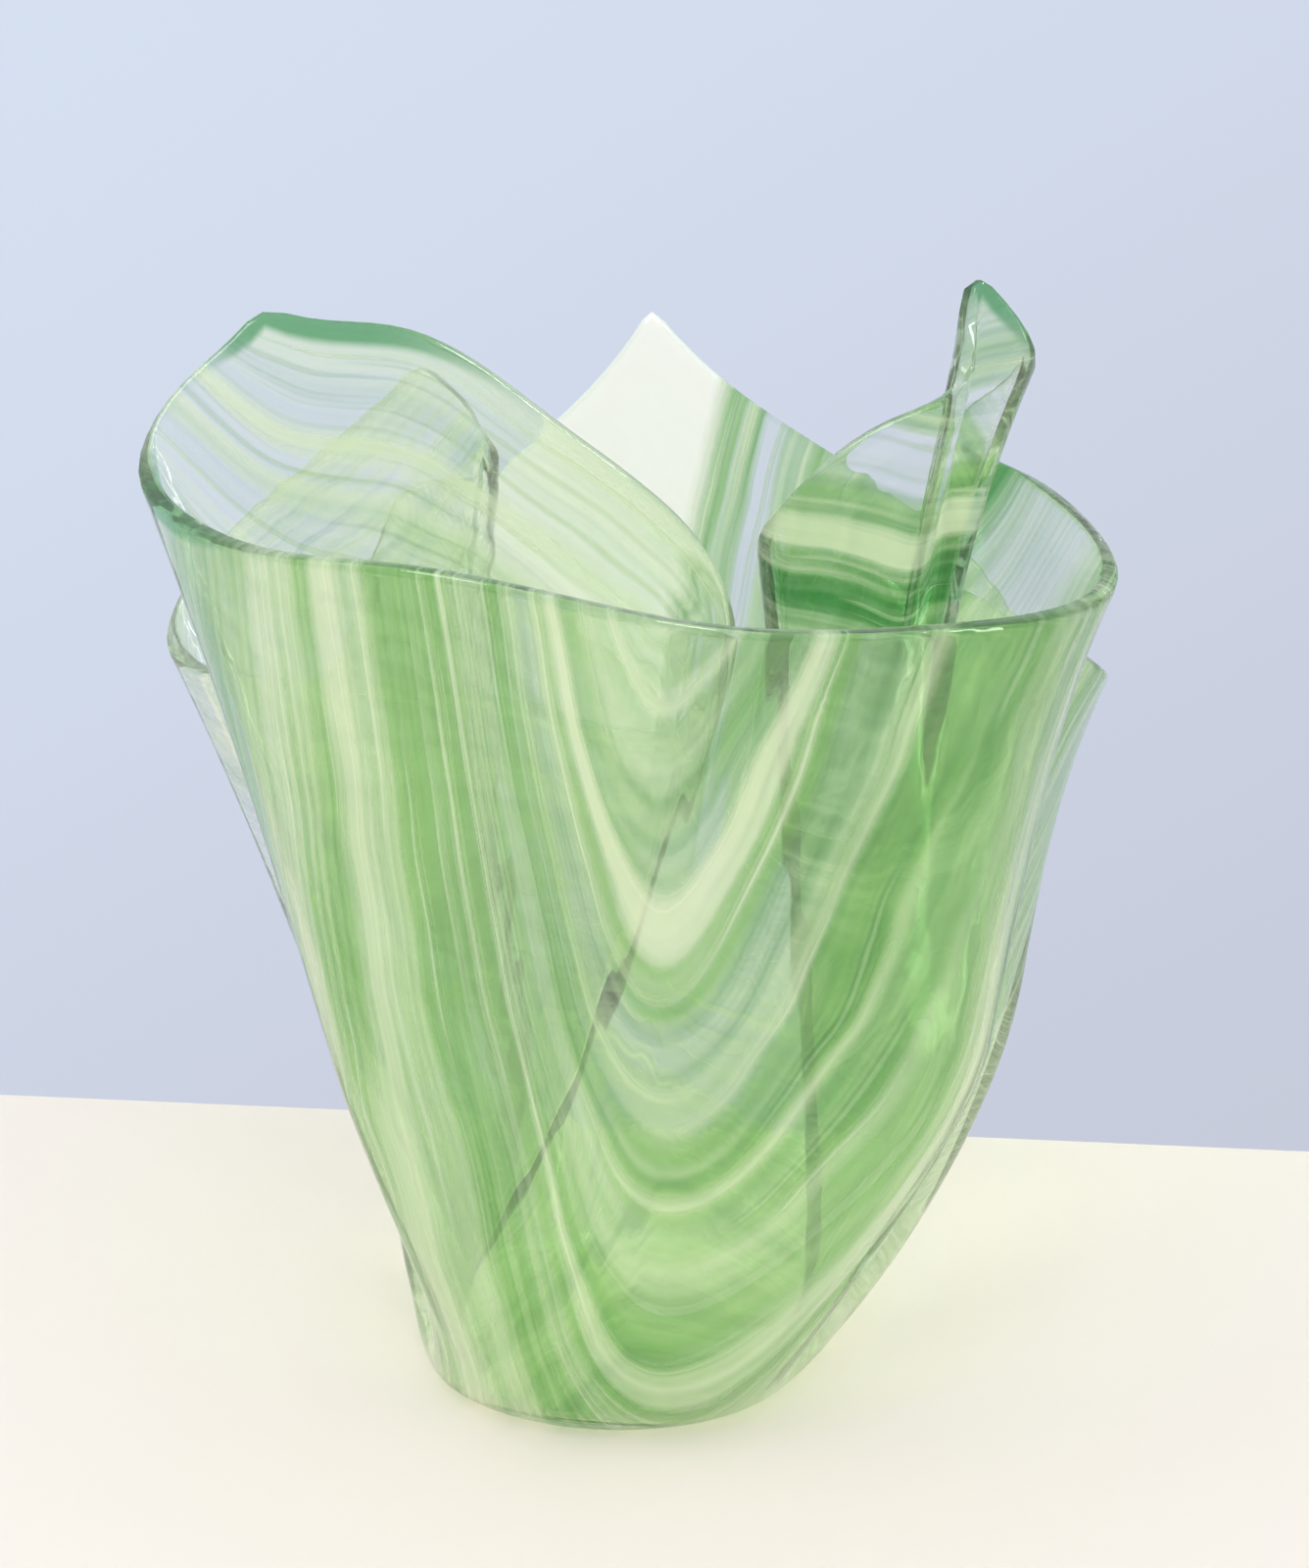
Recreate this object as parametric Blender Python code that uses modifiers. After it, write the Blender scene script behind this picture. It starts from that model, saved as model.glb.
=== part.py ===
"""A handkerchief vase: one square sheet of glass, slumped hot over a round post.

The sheet is laid out flat first, as rings and rays round its middle. Then each ray is draped: flat
under the foot, bent up at the foot's edge, and out to the place where its fold ends at the rim. A
smooth closed curve round the sheet joins one fold to the next.

The foot's flat face is at z = 0 with its middle at the origin. The wide front fold faces -Y.
Flat angles run from +X over +Y, so the sheet's front edge is at -90 degrees.
"""

import math
from typing import NamedTuple

import bmesh
import bpy
import numpy as np

MM = 0.001

# The sheet and its foot
SHEET_SIDE = 305 * MM
SHEET_CORNER_RADIUS = 3 * MM
GLASS_THICKNESS = 3 * MM
FOOT_RADIUS = 31.7 * MM
FOOT_BEND = 3.5 * MM

# The front right corner rolls over towards the left
HORN_CURL = 2.8 * MM
HORN_CURL_REACH = 16 * MM

# How finely the sheet is divided
BEND_RINGS = 4
WALL_RINGS = 16
RAY_SPACING = math.radians(3.2)
FEWEST_RAYS = 2

# The folds' places are in parts of the sheet's side, this many to a side
PARTS_TO_A_SIDE = 305

GLASS_COLOUR = (0.50, 0.78, 0.48, 1.0)
GLASS_ROUGHNESS = 0.04
GLASS_TRANSMISSION = 0.75
GLASS_IOR = 1.5


class Fold(NamedTuple):
    """One ray of the sheet: its angle on the flat sheet and where it ends up."""

    name: str
    angle: float
    rim: tuple
    waist: tuple = None
    rise: float = None
    bow: tuple = (0, 0)


# rim and waist are places, halfway up the flat wall for the waist. rise is how steeply the wall
# leaves the foot, in degrees. bow moves the upper wall sideways, halfway between waist and rim.
FOLDS = [
    # Front edge, from the left front corner to the right one
    Fold("left_corner", -135, (-53.5, 14, 167.5), (-37, -9, 57), 64),
    Fold("left_flute_back", -131.4, (-65.5, 10, 157.5)),
    Fold("left_flute", -126, (-70, 0, 144.5), (-42, -18, 58), 62, (1, 0)),
    Fold("left_flute_front", -121.5, (-59.5, -13, 140)),
    Fold("front_left", -109, (-27.5, -36, 140.5), (-19, -35, 66), 64),
    Fold("front_middle", -95, (10.5, -43, 134.5), (4, -40, 65), 62),
    Fold("front_right", -80, (46, -33, 131), (32, -34, 64), 50),
    Fold("right_flute", -65, (75, -6, 133), (56, -18, 61), 42, (-2, 0)),
    Fold("right_flute_back", -59.5, (69, 9, 139.5), bow=(1, -1)),
    Fold("horn_back", -55, (60.5, 24, 142), bow=(1, -2)),
    Fold("horn_tuck", -52, (53, 29, 146), bow=(0, -3)),
    Fold("horn_fold", -47.8, (64, 16, 160), (45, -9, 57), 46, (-5, 1)),
    # Right edge, from the horn to the back right corner
    Fold("horn_tip", -45, (58, 13.5, 172.5), bow=(-3, 1)),
    Fold("horn_edge", -40.5, (53, 7.5, 158.8), bow=(-2, 1)),
    Fold("horn_foot", -36.2, (41.5, 7, 152), bow=(0, 2)),
    Fold("right_valley", -28.2, (24.5, 10, 136), (30, -2, 60), 60),
    Fold("right_side", -9.2, (54, 38, 118), (50, 14, 57), 42),
    Fold("back_right_flute", 4.5, (79, 44, 103.5), bow=(-2, 0)),
    Fold("back_right_flute_back", 11, (83, 58, 97.5), (66, 27, 53), 36, (-2, 0)),
    Fold("back_right", 30.3, (46, 67, 127), (44, 45, 54), 46),
    # Back edge, from the back right corner to the back left one
    Fold("back_right_corner", 45, (6, 74, 156.5), (20, 49, 54), 58),
    Fold("back", 66.5, (-33.5, 82, 111.5), (-5, 52, 51), 60),
    Fold("back_flute", 84, (-67, 85, 68)),
    Fold("back_flute_left", 91, (-65, 71, 76), (-26, 53, 45), 60),
    Fold("back_left", 108, (-44, 60, 107), (-25, 42, 51), 64),
    Fold("back_left_tuck", 118, (-34.5, 50, 131)),
    Fold("back_left_fold", 128, (-20, 37, 138), (-19, 30, 54), 74, (-2, 2)),
    Fold("back_left_lip", 131.5, (-22, 33, 146.5), bow=(-2, 0)),
    # Left edge, from the back left corner to the front one
    Fold("back_left_corner", 135, (-31, 37, 154.5)),
    Fold("side_flute_back", 147.3, (-67, 44, 122.5), (-45.5, 28, 52)),
    Fold("side_flute", 152.6, (-73, 36, 110.5), (-48.5, 23.5, 51), 56, (1, 0)),
    Fold("side_flute_front", 157, (-67, 27, 107), (-44.5, 18.5, 51)),
    Fold("left_side", 170.2, (-30, 25, 106), (-30, 13, 54), 70),
    Fold("left_valley", 190.4, (15, 12, 105.5), (-3, 4, 55), 115),
    Fold("left_panel_foot", 196.8, (18, 5, 122)),
    Fold("left_panel", 212.3, (-10, 10, 152.5), (-21, -6, 60), 80),
    Fold("left_panel_top", 220.4, (-34, 14, 165.5)),
]

HALF_SIDE = SHEET_SIDE / 2
PART = SHEET_SIDE / PARTS_TO_A_SIDE
WAIST_REACH = (FOOT_RADIUS + HALF_SIDE) / 2
HORN_CORNER = (HALF_SIDE, -HALF_SIDE)
FULL_TURN = 2 * math.pi


def sheet_reach(angles):
    """How far the flat sheet reaches from its middle at each angle, with its corners rounded."""
    along = np.maximum(np.abs(np.cos(angles)), np.abs(np.sin(angles)))
    across = np.minimum(np.abs(np.cos(angles)), np.abs(np.sin(angles)))
    edge = HALF_SIDE / along
    corner_inset = HALF_SIDE - SHEET_CORNER_RADIUS
    corner_centre = math.sqrt(2) * corner_inset
    off_diagonal = np.arctan2(across, along) - math.pi / 4
    chord = SHEET_CORNER_RADIUS**2 - (corner_centre * np.sin(off_diagonal)) ** 2
    rounded = corner_centre * np.cos(off_diagonal) + np.sqrt(np.maximum(chord, 0))
    return np.where(edge * across > corner_inset, rounded, edge)


def curve_weights(knots, angles):
    """How much each knot counts at each angle, on the smooth closed curve through all knots."""
    count = len(knots)
    ends = np.append(knots, knots[0] + FULL_TURN)
    gaps = np.diff(ends)
    stiffness = np.zeros((count, count))
    pull = np.zeros((count, count))
    for here in range(count):
        before = (here - 1) % count
        after = (here + 1) % count
        stiffness[here, before] += gaps[before]
        stiffness[here, here] += 2 * (gaps[before] + gaps[here])
        stiffness[here, after] += gaps[here]
        pull[here, before] += 6 / gaps[before]
        pull[here, here] -= 6 / gaps[before] + 6 / gaps[here]
        pull[here, after] += 6 / gaps[here]
    curvature = np.linalg.solve(stiffness, pull)

    turned = (angles - knots[0]) % FULL_TURN + knots[0]
    start = np.clip(np.searchsorted(ends, turned, side="right") - 1, 0, count - 1)
    end = (start + 1) % count
    gap = gaps[start]
    past = (turned - ends[start]) / gap
    left = 1 - past
    weights = np.zeros((len(angles), count))
    rows = np.arange(len(angles))
    weights[rows, start] += left
    weights[rows, end] += past
    weights += (gap**2 / 6 * (left**3 - left))[:, None] * curvature[start]
    weights += (gap**2 / 6 * (past**3 - past))[:, None] * curvature[end]
    return weights


def round_the_sheet(values, folds, angles):
    """The values that some folds state, carried smoothly round the sheet to other angles."""
    knots = np.radians([fold.angle for fold, value in zip(folds, values) if value is not None])
    stated = np.array([value for value in values if value is not None], dtype=float)
    return curve_weights(knots, angles) @ stated


def hermite(start, end, start_slope, end_slope, share):
    """The cubic between two places with the given slopes, at each share of the way."""
    t = np.clip(share, 0, 1)[:, None]
    return (
        (2 * t**3 - 3 * t**2 + 1) * start
        + (t**3 - 2 * t**2 + t) * start_slope
        + (3 * t**2 - 2 * t**3) * end
        + (t**3 - t**2) * end_slope
    )


def fold_wall(angle, rim, waist, rise, bow, reaches):
    """The places along one ray of the wall, at each reach from the middle of the flat sheet."""
    outward = np.array([math.cos(angle), math.sin(angle), 0])
    foot = outward * FOOT_RADIUS + np.array([0, 0, GLASS_THICKNESS / 2])
    lower = WAIST_REACH - FOOT_RADIUS
    upper = sheet_reach(np.array([angle]))[0] - WAIST_REACH
    speed = np.linalg.norm(waist - foot) / lower
    leave = (outward * math.cos(rise) + np.array([0, 0, math.sin(rise)])) * speed
    straight = (rim - waist) / upper
    pass_waist = straight + bow * 8 / (3 * upper)
    meet_rim = straight - bow * 16 / (3 * upper)

    below = hermite(foot, waist, leave * lower, pass_waist * lower, (reaches - FOOT_RADIUS) / lower)
    above = hermite(waist, rim, pass_waist * upper, meet_rim * upper, (reaches - WAIST_REACH) / upper)
    beyond = np.maximum(reaches - WAIST_REACH - upper, 0)[:, None] * meet_rim
    return np.where((reaches < WAIST_REACH)[:, None], below, above) + beyond


def wall(angles, reaches):
    """The draped wall, as if the sheet had no edge."""
    folds = sorted(FOLDS, key=lambda fold: fold.angle)
    knots = np.radians([fold.angle for fold in folds])
    waists = round_the_sheet([fold.waist for fold in folds], folds, knots) * PART
    rises = np.radians(round_the_sheet([fold.rise for fold in folds], folds, knots))
    weights = curve_weights(knots, angles)
    places = np.zeros((len(angles), 3))
    for index, fold in enumerate(folds):
        rim = np.array(fold.rim) * PART
        bow = np.array([*fold.bow, 0]) * PART
        ray = fold_wall(knots[index], rim, waists[index], rises[index], bow, reaches)
        places += weights[:, index, None] * ray
    return places


def drape(flat):
    """Where the slumped sheet's middle surface ends up, for places x, y on the flat sheet."""
    reaches = np.hypot(flat[:, 0], flat[:, 1])
    angles = np.arctan2(flat[:, 1], flat[:, 0])
    outward = np.stack([np.cos(angles), np.sin(angles), np.zeros(len(angles))], axis=1)
    lift = np.array([0, 0, GLASS_THICKNESS / 2])
    bend_start = FOOT_RADIUS - FOOT_BEND
    bend_end = FOOT_RADIUS + FOOT_BEND

    foot = outward * reaches[:, None] + lift
    edge = outward * FOOT_RADIUS + lift
    inner = outward * bend_start + lift
    outer = wall(angles, np.full(len(angles), bend_end))
    share = np.clip((reaches - bend_start) / (bend_end - bend_start), 0, 1)[:, None]
    bend = (1 - share) ** 2 * inner + 2 * share * (1 - share) * edge + share**2 * outer
    upright = wall(angles, np.maximum(reaches, bend_end))

    places = np.where((reaches < bend_end)[:, None], bend, upright)
    places = np.where((reaches < bend_start)[:, None], foot, places)
    from_tip = np.hypot(flat[:, 0] - HORN_CORNER[0], flat[:, 1] - HORN_CORNER[1])
    places[:, 0] -= HORN_CURL * np.clip(1 - from_tip / HORN_CURL_REACH, 0, 1) ** 2
    return places


def ray_angles():
    """The angles of the flat sheet's rays: one at each fold and some between, none far apart."""
    knots = sorted(math.radians(fold.angle) for fold in FOLDS)
    knots.append(knots[0] + FULL_TURN)
    angles = []
    for start, end in zip(knots, knots[1:]):
        steps = max(FEWEST_RAYS, round((end - start) / RAY_SPACING))
        angles.extend(start + (end - start) * step / steps for step in range(steps))
    return np.array(angles)


def flat_sheet():
    """The square sheet, flat, as a disc under the foot and rings that grow out to a square."""
    angles = ray_angles()
    sheet_edge = sheet_reach(angles)
    bend_start = FOOT_RADIUS - FOOT_BEND
    bend_end = FOOT_RADIUS + FOOT_BEND
    rings = [np.full(len(angles), bend_start)]
    for ring in range(1, BEND_RINGS + 1):
        reach = bend_start + (bend_end - bend_start) * ring / BEND_RINGS
        rings.append(np.full(len(angles), reach))
    for ring in range(1, WALL_RINGS + 1):
        rings.append(bend_end + (sheet_edge - bend_end) * ring / WALL_RINGS)

    sheet = bmesh.new()
    disc = bmesh.ops.create_circle(
        sheet, cap_ends=True, cap_tris=True, segments=len(angles), radius=bend_start
    )
    middle = min(disc["verts"], key=lambda vert: vert.co.length)
    outline = [vert for vert in disc["verts"] if vert is not middle]
    outline.sort(key=lambda vert: math.atan2(vert.co.y, vert.co.x) % FULL_TURN)
    for level, reaches in enumerate(rings):
        if level > 0:
            edges = [edge for edge in sheet.edges if edge.is_boundary]
            grown = bmesh.ops.extrude_edge_only(sheet, edges=edges)["geom"]
            fresh = {tuple(v.co): v for v in grown if isinstance(v, bmesh.types.BMVert)}
            outline = [fresh[tuple(vert.co)] for vert in outline]
        for vert, angle, reach in zip(outline, angles, reaches):
            vert.co = (reach * math.cos(angle), reach * math.sin(angle), 0)
    bmesh.ops.recalc_face_normals(sheet, faces=sheet.faces)
    return sheet


def glass():
    """Pale green glass. The streaks in it are left to the finish."""
    material = bpy.data.materials.new("streaky_glass")
    material.use_nodes = True
    shader = material.node_tree.nodes["Principled BSDF"]
    shader.inputs["Base Color"].default_value = GLASS_COLOUR
    shader.inputs["Roughness"].default_value = GLASS_ROUGHNESS
    shader.inputs["Transmission Weight"].default_value = GLASS_TRANSMISSION
    shader.inputs["IOR"].default_value = GLASS_IOR
    material.diffuse_color = GLASS_COLOUR
    return material


def vase(collection):
    """The slumped sheet, with its wall half to each side of the draped surface."""
    sheet = flat_sheet()
    sheet.verts.ensure_lookup_table()
    flat = np.array([vert.co[:2] for vert in sheet.verts])
    for vert, place in zip(sheet.verts, drape(flat)):
        vert.co = place
    mesh = bpy.data.meshes.new("vase")
    sheet.to_mesh(mesh)
    sheet.free()
    mesh.shade_smooth()
    mesh.materials.append(glass())
    piece = bpy.data.objects.new("vase", mesh)
    collection.objects.link(piece)

    thickness = piece.modifiers.new("glass_thickness", "SOLIDIFY")
    thickness.thickness = GLASS_THICKNESS
    thickness.offset = 0
    thickness.use_even_offset = False
    return piece


for old in list(bpy.data.objects):
    bpy.data.objects.remove(old, do_unlink=True)
parts = bpy.data.collections.new("handkerchief_vase")
bpy.context.scene.collection.children.link(parts)
vase(parts)
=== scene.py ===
"""A handkerchief vase of streaky green glass, on a pale table in front of a pale backdrop."""

import math
from typing import NamedTuple

import bmesh
import bpy
import numpy as np
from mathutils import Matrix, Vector


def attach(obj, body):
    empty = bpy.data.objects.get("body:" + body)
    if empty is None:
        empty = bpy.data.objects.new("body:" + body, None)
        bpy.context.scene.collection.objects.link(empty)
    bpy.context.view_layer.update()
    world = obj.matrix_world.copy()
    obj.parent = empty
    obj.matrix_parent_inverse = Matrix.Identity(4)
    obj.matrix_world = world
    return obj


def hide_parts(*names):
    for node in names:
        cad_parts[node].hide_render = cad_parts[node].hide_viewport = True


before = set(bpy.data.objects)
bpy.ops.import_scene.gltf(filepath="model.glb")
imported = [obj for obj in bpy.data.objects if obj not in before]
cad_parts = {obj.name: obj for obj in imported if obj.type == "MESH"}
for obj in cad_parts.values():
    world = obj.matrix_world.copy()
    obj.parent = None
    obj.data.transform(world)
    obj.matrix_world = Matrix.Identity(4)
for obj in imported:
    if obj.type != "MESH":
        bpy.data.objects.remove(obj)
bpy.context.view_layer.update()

# The vase
# One square sheet of hand-rolled streaky glass, 3 mm thick, slumped hot over a round post so that
# it hangs in deep folds. Its cut edges melted round in the kiln. Nothing is joined to it.

MM = 0.001
SHEET_SIDE = 305 * MM
SHEET_CORNER_RADIUS = 3 * MM
GLASS_THICKNESS = 3 * MM
FOOT_RADIUS = 31.7 * MM
FOOT_BEND = 3.5 * MM
HORN_CURL = 2.8 * MM
HORN_CURL_REACH = 16 * MM
PARTS_TO_A_SIDE = 305


class Fold(NamedTuple):
    """One ray of the sheet: its angle on the flat sheet and where it ends up."""

    name: str
    angle: float
    rim: tuple
    waist: tuple = None
    rise: float = None
    bow: tuple = (0, 0)


# rim and waist are places, halfway up the flat wall for the waist. rise is how steeply the wall
# leaves the foot, in degrees. bow moves the upper wall sideways, halfway between waist and rim.
FOLDS = [
    # Front edge, from the left front corner to the right one
    Fold("left_corner", -135, (-53.5, 14, 167.5), (-37, -9, 57), 64),
    Fold("left_flute_back", -131.4, (-65.5, 10, 157.5)),
    Fold("left_flute", -126, (-70, 0, 144.5), (-42, -18, 58), 62, (1, 0)),
    Fold("left_flute_front", -121.5, (-59.5, -13, 140)),
    Fold("front_left", -109, (-27.5, -36, 140.5), (-19, -35, 66), 64),
    Fold("front_middle", -95, (10.5, -43, 134.5), (4, -40, 65), 62),
    Fold("front_right", -80, (46, -33, 131), (32, -34, 64), 50),
    Fold("right_flute", -65, (75, -6, 133), (56, -18, 61), 42, (-2, 0)),
    Fold("right_flute_back", -59.5, (69, 9, 139.5), bow=(1, -1)),
    Fold("horn_back", -55, (60.5, 24, 142), bow=(1, -2)),
    Fold("horn_tuck", -52, (53, 29, 146), bow=(0, -3)),
    Fold("horn_fold", -47.8, (64, 16, 160), (45, -9, 57), 46, (-5, 1)),
    # Right edge, from the horn to the back right corner
    Fold("horn_tip", -45, (58, 13.5, 172.5), bow=(-3, 1)),
    Fold("horn_edge", -40.5, (53, 7.5, 158.8), bow=(-2, 1)),
    Fold("horn_foot", -36.2, (41.5, 7, 152), bow=(0, 2)),
    Fold("right_valley", -28.2, (24.5, 10, 136), (30, -2, 60), 60),
    Fold("right_side", -9.2, (54, 38, 118), (50, 14, 57), 42),
    Fold("back_right_flute", 4.5, (79, 44, 103.5), bow=(-2, 0)),
    Fold("back_right_flute_back", 11, (83, 58, 97.5), (66, 27, 53), 36, (-2, 0)),
    Fold("back_right", 30.3, (46, 67, 127), (44, 45, 54), 46),
    # Back edge, from the back right corner to the back left one
    Fold("back_right_corner", 45, (6, 74, 156.5), (20, 49, 54), 58),
    Fold("back", 66.5, (-33.5, 82, 111.5), (-5, 52, 51), 60),
    Fold("back_flute", 84, (-67, 85, 68)),
    Fold("back_flute_left", 91, (-65, 71, 76), (-26, 53, 45), 60),
    Fold("back_left", 108, (-44, 60, 107), (-25, 42, 51), 64),
    Fold("back_left_tuck", 118, (-34.5, 50, 131)),
    Fold("back_left_fold", 128, (-20, 37, 138), (-19, 30, 54), 74, (-2, 2)),
    Fold("back_left_lip", 131.5, (-22, 33, 146.5), bow=(-2, 0)),
    # Left edge, from the back left corner to the front one
    Fold("back_left_corner", 135, (-31, 37, 154.5)),
    Fold("side_flute_back", 147.3, (-67, 44, 122.5), (-45.5, 28, 52)),
    Fold("side_flute", 152.6, (-73, 36, 110.5), (-48.5, 23.5, 51), 56, (1, 0)),
    Fold("side_flute_front", 157, (-67, 27, 107), (-44.5, 18.5, 51)),
    Fold("left_side", 170.2, (-30, 25, 106), (-30, 13, 54), 70),
    Fold("left_valley", 190.4, (15, 12, 105.5), (-3, 4, 55), 115),
    Fold("left_panel_foot", 196.8, (18, 5, 122)),
    Fold("left_panel", 212.3, (-10, 10, 152.5), (-21, -6, 60), 80),
    Fold("left_panel_top", 220.4, (-34, 14, 165.5)),
]

HALF_SIDE = SHEET_SIDE / 2
PART = SHEET_SIDE / PARTS_TO_A_SIDE
WAIST_REACH = (FOOT_RADIUS + HALF_SIDE) / 2
HORN_CORNER = (HALF_SIDE, -HALF_SIDE)
FULL_TURN = 2 * math.pi


def sheet_reach(angles):
    """How far the flat sheet reaches from its middle at each angle, with its corners rounded."""
    along = np.maximum(np.abs(np.cos(angles)), np.abs(np.sin(angles)))
    across = np.minimum(np.abs(np.cos(angles)), np.abs(np.sin(angles)))
    edge = HALF_SIDE / along
    corner_inset = HALF_SIDE - SHEET_CORNER_RADIUS
    corner_centre = math.sqrt(2) * corner_inset
    off_diagonal = np.arctan2(across, along) - math.pi / 4
    chord = SHEET_CORNER_RADIUS**2 - (corner_centre * np.sin(off_diagonal)) ** 2
    rounded = corner_centre * np.cos(off_diagonal) + np.sqrt(np.maximum(chord, 0))
    return np.where(edge * across > corner_inset, rounded, edge)


def curve_weights(knots, angles):
    """How much each knot counts at each angle, on the smooth closed curve through all knots."""
    count = len(knots)
    ends = np.append(knots, knots[0] + FULL_TURN)
    gaps = np.diff(ends)
    stiffness = np.zeros((count, count))
    pull = np.zeros((count, count))
    for here in range(count):
        before = (here - 1) % count
        after = (here + 1) % count
        stiffness[here, before] += gaps[before]
        stiffness[here, here] += 2 * (gaps[before] + gaps[here])
        stiffness[here, after] += gaps[here]
        pull[here, before] += 6 / gaps[before]
        pull[here, here] -= 6 / gaps[before] + 6 / gaps[here]
        pull[here, after] += 6 / gaps[here]
    curvature = np.linalg.solve(stiffness, pull)

    turned = (angles - knots[0]) % FULL_TURN + knots[0]
    start = np.clip(np.searchsorted(ends, turned, side="right") - 1, 0, count - 1)
    end = (start + 1) % count
    gap = gaps[start]
    past = (turned - ends[start]) / gap
    left = 1 - past
    weights = np.zeros((len(angles), count))
    rows = np.arange(len(angles))
    weights[rows, start] += left
    weights[rows, end] += past
    weights += (gap**2 / 6 * (left**3 - left))[:, None] * curvature[start]
    weights += (gap**2 / 6 * (past**3 - past))[:, None] * curvature[end]
    return weights


def round_the_sheet(values, folds, angles):
    """The values that some folds state, carried smoothly round the sheet to other angles."""
    knots = np.radians([fold.angle for fold, value in zip(folds, values) if value is not None])
    stated = np.array([value for value in values if value is not None], dtype=float)
    return curve_weights(knots, angles) @ stated


def hermite(start, end, start_slope, end_slope, share):
    """The cubic between two places with the given slopes, at each share of the way."""
    t = np.clip(share, 0, 1)[:, None]
    return (
        (2 * t**3 - 3 * t**2 + 1) * start
        + (t**3 - 2 * t**2 + t) * start_slope
        + (3 * t**2 - 2 * t**3) * end
        + (t**3 - t**2) * end_slope
    )


def fold_wall(angle, rim, waist, rise, bow, reaches):
    """The places along one ray of the wall, at each reach from the middle of the flat sheet."""
    outward = np.array([math.cos(angle), math.sin(angle), 0])
    foot = outward * FOOT_RADIUS + np.array([0, 0, GLASS_THICKNESS / 2])
    lower = WAIST_REACH - FOOT_RADIUS
    upper = sheet_reach(np.array([angle]))[0] - WAIST_REACH
    speed = np.linalg.norm(waist - foot) / lower
    leave = (outward * math.cos(rise) + np.array([0, 0, math.sin(rise)])) * speed
    straight = (rim - waist) / upper
    pass_waist = straight + bow * 8 / (3 * upper)
    meet_rim = straight - bow * 16 / (3 * upper)

    below = hermite(foot, waist, leave * lower, pass_waist * lower, (reaches - FOOT_RADIUS) / lower)
    above = hermite(waist, rim, pass_waist * upper, meet_rim * upper, (reaches - WAIST_REACH) / upper)
    beyond = np.maximum(reaches - WAIST_REACH - upper, 0)[:, None] * meet_rim
    return np.where((reaches < WAIST_REACH)[:, None], below, above) + beyond


def wall(angles, reaches):
    """The draped wall, as if the sheet had no edge."""
    folds = sorted(FOLDS, key=lambda fold: fold.angle)
    knots = np.radians([fold.angle for fold in folds])
    waists = round_the_sheet([fold.waist for fold in folds], folds, knots) * PART
    rises = np.radians(round_the_sheet([fold.rise for fold in folds], folds, knots))
    weights = curve_weights(knots, angles)
    places = np.zeros((len(angles), 3))
    for index, fold in enumerate(folds):
        rim = np.array(fold.rim) * PART
        bow = np.array([*fold.bow, 0]) * PART
        ray = fold_wall(knots[index], rim, waists[index], rises[index], bow, reaches)
        places += weights[:, index, None] * ray
    return places


def drape(flat):
    """Where the slumped sheet's middle surface ends up, for places x, y on the flat sheet."""
    reaches = np.hypot(flat[:, 0], flat[:, 1])
    angles = np.arctan2(flat[:, 1], flat[:, 0])
    outward = np.stack([np.cos(angles), np.sin(angles), np.zeros(len(angles))], axis=1)
    lift = np.array([0, 0, GLASS_THICKNESS / 2])
    bend_start = FOOT_RADIUS - FOOT_BEND
    bend_end = FOOT_RADIUS + FOOT_BEND

    foot = outward * reaches[:, None] + lift
    edge = outward * FOOT_RADIUS + lift
    inner = outward * bend_start + lift
    outer = wall(angles, np.full(len(angles), bend_end))
    share = np.clip((reaches - bend_start) / (bend_end - bend_start), 0, 1)[:, None]
    bend = (1 - share) ** 2 * inner + 2 * share * (1 - share) * edge + share**2 * outer
    upright = wall(angles, np.maximum(reaches, bend_end))

    places = np.where((reaches < bend_end)[:, None], bend, upright)
    places = np.where((reaches < bend_start)[:, None], foot, places)
    from_tip = np.hypot(flat[:, 0] - HORN_CORNER[0], flat[:, 1] - HORN_CORNER[1])
    places[:, 0] -= HORN_CURL * np.clip(1 - from_tip / HORN_CURL_REACH, 0, 1) ** 2
    return places


# How finely the sheet is divided. The last rings are close together, to round the edge.
RAY_SPACING = math.radians(0.85)
FEWEST_RAYS = 6
BEND_RINGS = 6
WALL_RINGS = 60
EDGE_DEPTHS = [1.5 * MM, 0.9 * MM, 0.45 * MM, 0.15 * MM, 0]
EDGE_ROUNDNESS = 0.5


def ray_angles():
    """The angles of the flat sheet's rays: one at each fold and some between, none far apart."""
    knots = sorted(math.radians(fold.angle) for fold in FOLDS)
    knots.append(knots[0] + FULL_TURN)
    angles = []
    for start, end in zip(knots, knots[1:]):
        steps = max(FEWEST_RAYS, round((end - start) / RAY_SPACING))
        angles.extend(start + (end - start) * step / steps for step in range(steps))
    return np.array(angles)


def ring_reaches(angles):
    """How far out each ring of the flat sheet lies at each angle, from the foot to the edge."""
    sheet_edge = sheet_reach(angles)
    bend_start = FOOT_RADIUS - FOOT_BEND
    bend_end = FOOT_RADIUS + FOOT_BEND
    rings = [np.full(len(angles), bend_start)]
    for ring in range(1, BEND_RINGS + 1):
        rings.append(np.full(len(angles), bend_start + 2 * FOOT_BEND * ring / BEND_RINGS))
    last_plain = sheet_edge - EDGE_DEPTHS[0]
    for ring in range(1, WALL_RINGS):
        rings.append(bend_end + (last_plain - bend_end) * ring / WALL_RINGS)
    rings.extend(sheet_edge - depth for depth in EDGE_DEPTHS)
    return rings


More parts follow.
